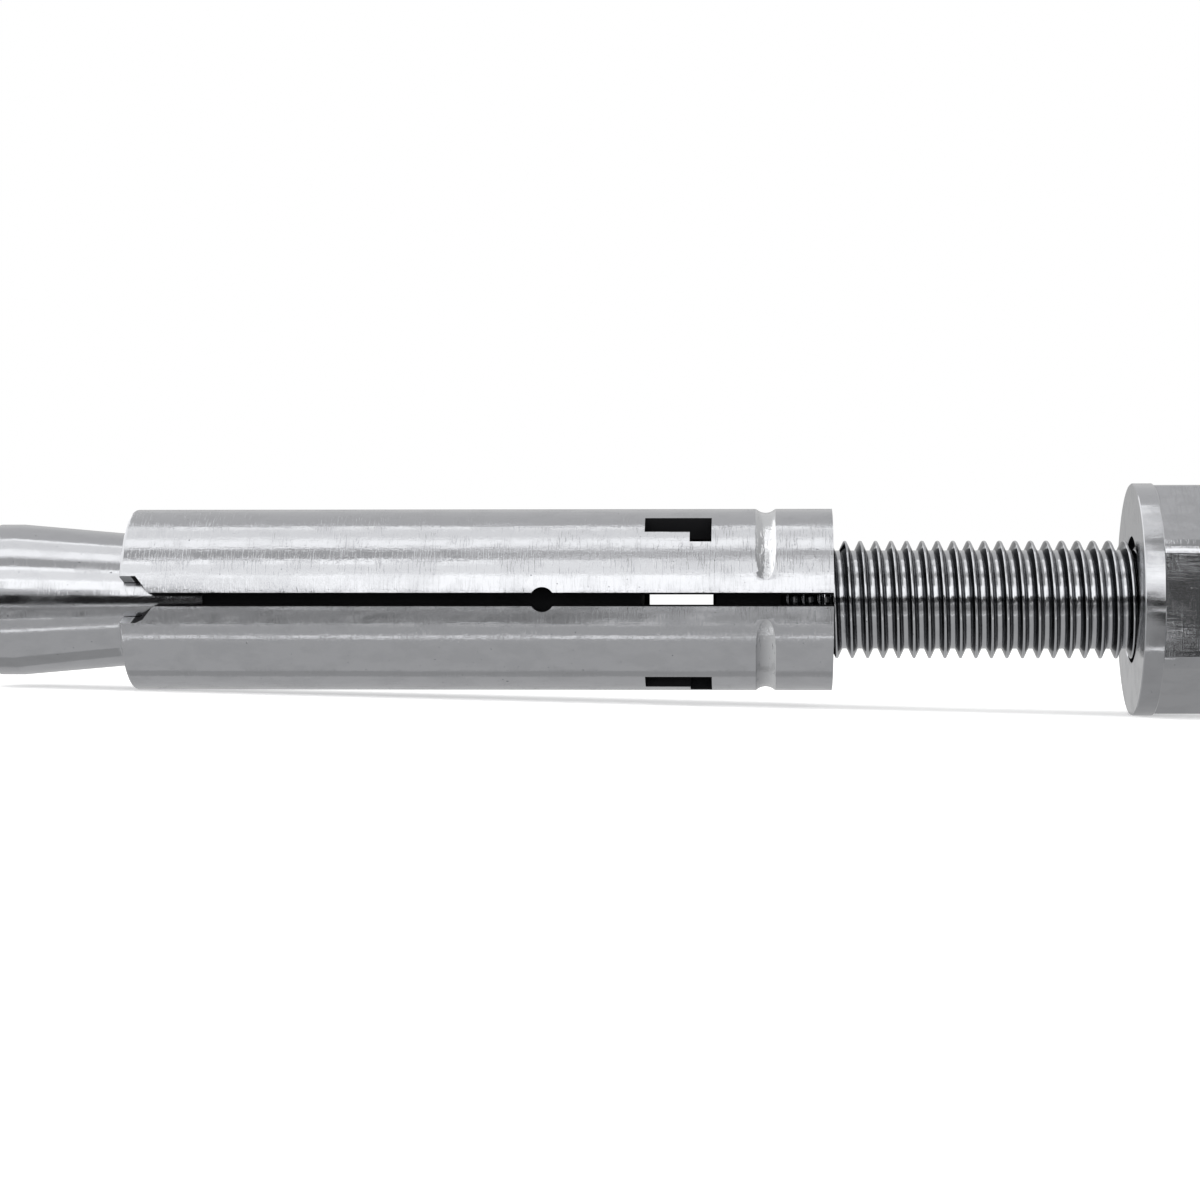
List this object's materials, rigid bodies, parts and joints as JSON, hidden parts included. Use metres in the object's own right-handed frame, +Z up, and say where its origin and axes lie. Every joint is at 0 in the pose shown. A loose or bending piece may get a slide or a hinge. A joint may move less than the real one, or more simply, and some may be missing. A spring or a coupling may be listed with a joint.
{
  "type": "sleeve anchor",
  "caption": "Expansion sleeve anchor: cone-ended threaded stud, split steel sleeve with L-shaped windows, flat washer and hex nut that draws the cone into the sleeve.",
  "frame": {"origin": "on the anchor's axis at the sleeve's outer end, which sits flush with the wall's surface", "axes": "+X along the axis from the cone to the nut, out of the wall; the sleeve's slit faces -Y; +Z is up with the anchor lying on its side"},
  "size_m": [0.1109, 0.0194, 0.0194],
  "materials": {
    "stud_steel": "bright zinc plated, turned cone and rolled thread",
    "sleeve_steel": "bright zinc plated, rolled strip with light scuffs",
    "washer_steel": "bright zinc plated, punched and flat",
    "nut_steel": "bright zinc plated, cold formed flats with fine scratches"
  },
  "bodies": {
    "stud": {"cone_stud": "stud_steel"},
    "sleeve": {"expansion_sleeve": "sleeve_steel"},
    "washer": {"flat_washer": "washer_steel"},
    "nut": {"hex_nut": "nut_steel"}
  },
  "joints": [
    {"name": "sleeve_slide", "type": "slide", "parent": "stud", "child": "sleeve", "axis": [1, 0, 0], "range_m": [0, 0.005]},
    {"name": "washer_slide", "type": "slide", "parent": "stud", "child": "washer", "axis": [1, 0, 0], "range_m": [-0.01943, 0.00519]},
    {"name": "nut_turn", "type": "hinge", "parent": "washer", "child": "nut", "pos_m": [0.0267, 0, 0], "axis": [1, 0, 0], "range_deg": [-5400, 1440]}
  ],
  "couplings": [
    {"joint": "washer_slide", "follows": "nut_turn", "m_per_rad": 0.00020611}
  ]
}
